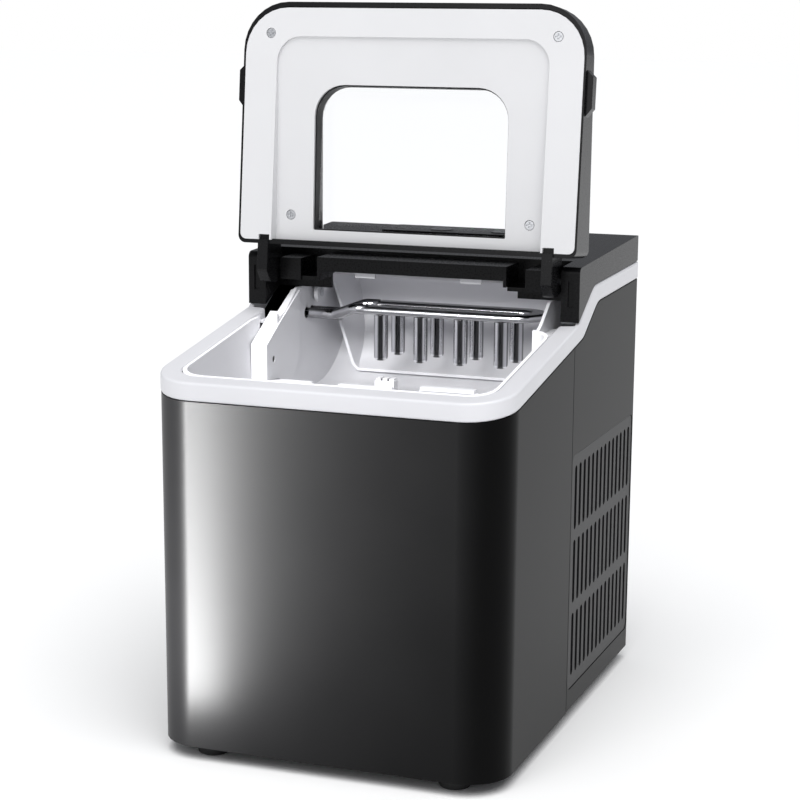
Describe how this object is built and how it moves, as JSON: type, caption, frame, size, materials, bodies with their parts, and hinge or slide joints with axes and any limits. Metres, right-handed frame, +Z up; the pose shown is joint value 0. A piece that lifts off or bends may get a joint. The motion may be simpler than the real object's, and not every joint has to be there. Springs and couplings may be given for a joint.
{
  "type": "ice maker",
  "caption": "Countertop ice maker with a hinged window lid, lift-out ice basket, chilled metal fingers, swinging water tray and side vents.",
  "frame": {"origin": "centre of the footprint, on the surface the feet stand on", "axes": "+Z up, -Y towards the front, +X to the right seen from the front; the lid is open at rest"},
  "size_m": [0.234, 0.3006, 0.4535],
  "materials": {
    "cover_black": "satin",
    "grille_black": "fine texture",
    "hood_black": "gloss",
    "button_grey": "satin",
    "light_lens": "clear",
    "board_green": "solder mask",
    "white_plastic": "satin",
    "foam_cream": "foam",
    "chrome_metal": "polished",
    "steel_bright": "zinc plated",
    "impeller_blue": "moulded",
    "hose_clear": "translucent",
    "rubber_black": "matte",
    "compressor_black": "semi-gloss",
    "copper_pipe": "drawn copper",
    "fin_aluminium": "bare",
    "window_clear": "clear"
  },
  "bodies": {
    "body": {"front_cover": "cover_black", "left_side_panel": "cover_black", "right_side_panel": "cover_black", "left_vent_grille": "grille_black", "right_vent_grille": "grille_black", "rear_panel": "cover_black", "rear_panel_screws": "steel_bright", "base_pan": "cover_black", "feet": "rubber_black", "top_rim": "white_plastic", "rear_cover": "hood_black", "control_fascia": "hood_black", "indicator_lights": "light_lens", "control_board": "board_green", "chamber_ceiling": "white_plastic", "inner_tank": "white_plastic", "tank_insulation": "foam_cream", "sensor_housing": "white_plastic", "ice_sensors": "grille_black", "evaporator_tube": "chrome_metal", "evaporator_fingers": "chrome_metal", "evaporator_pipes": "chrome_metal", "tray_motor": "steel_bright", "water_pump": "grille_black", "water_hose": "hose_clear", "float_stem": "white_plastic", "drain_hose": "hose_clear", "drain_spout": "grille_black", "compressor_shell": "compressor_black", "compressor_core": "steel_bright", "compressor_grommets": "rubber_black", "compressor_relay": "grille_black", "condenser_tube": "copper_pipe", "condenser_fins": "fin_aluminium", "fan_shroud": "grille_black", "fan_motor": "steel_bright", "filter_drier": "copper_pipe", "capillary_tube": "copper_pipe", "hot_gas_valve": "copper_pipe", "suction_line": "copper_pipe", "discharge_line": "copper_pipe", "power_inlet": "grille_black"},
    "lid": {"lid_shell": "hood_black", "lid_liner": "white_plastic", "lid_window": "window_clear", "window_gasket": "grille_black", "lid_screws": "steel_bright", "hinge_pins": "steel_bright"},
    "basket": {"ice_basket": "white_plastic"},
    "tray": {"water_tray": "white_plastic", "tray_shafts": "steel_bright"},
    "power_key": {"power_button": "button_grey"},
    "select_key": {"select_button": "button_grey"},
    "fan": {"fan_rotor": "grille_black"},
    "impeller": {"pump_impeller": "impeller_blue"},
    "float": {"water_float": "white_plastic"},
    "drain_plug": {"drain_cap": "rubber_black"}
  },
  "joints": [
    {"name": "lid_hinge", "type": "hinge", "parent": "body", "child": "lid", "pos_m": [0, 0.0084, 0.2854], "axis": [-1, 0, 0], "range_deg": [-105, 0]},
    {"name": "basket_lift", "type": "slide", "parent": "body", "child": "basket", "axis": [0, 0, 1], "range_m": [0, 0.14]},
    {"name": "tray_swing", "type": "hinge", "parent": "body", "child": "tray", "pos_m": [0, 0.05, 0.263], "axis": [1, 0, 0], "range_deg": [-100, 0]},
    {"name": "power_press", "type": "slide", "parent": "body", "child": "power_key", "axis": [0, 0, -1], "range_m": [0, 0.0012], "stiffness_N_per_m": 900, "springref_m": -0.001},
    {"name": "select_press", "type": "slide", "parent": "body", "child": "select_key", "axis": [0, 0, -1], "range_m": [0, 0.0012], "stiffness_N_per_m": 900, "springref_m": -0.001},
    {"name": "fan_spin", "type": "hinge", "parent": "body", "child": "fan", "pos_m": [0.08, 0.072, 0.088], "axis": [1, 0, 0], "continuous": true},
    {"name": "impeller_spin", "type": "hinge", "parent": "body", "child": "impeller", "pos_m": [-0.08, 0.014, 0.06], "axis": [0, 0, 1], "continuous": true},
    {"name": "float_rise", "type": "slide", "parent": "body", "child": "float", "axis": [0, 0, 1], "range_m": [0, 0.018]},
    {"name": "drain_pull", "type": "slide", "parent": "body", "child": "drain_plug", "axis": [0, 1, 0], "range_m": [0, 0.03]}
  ]
}
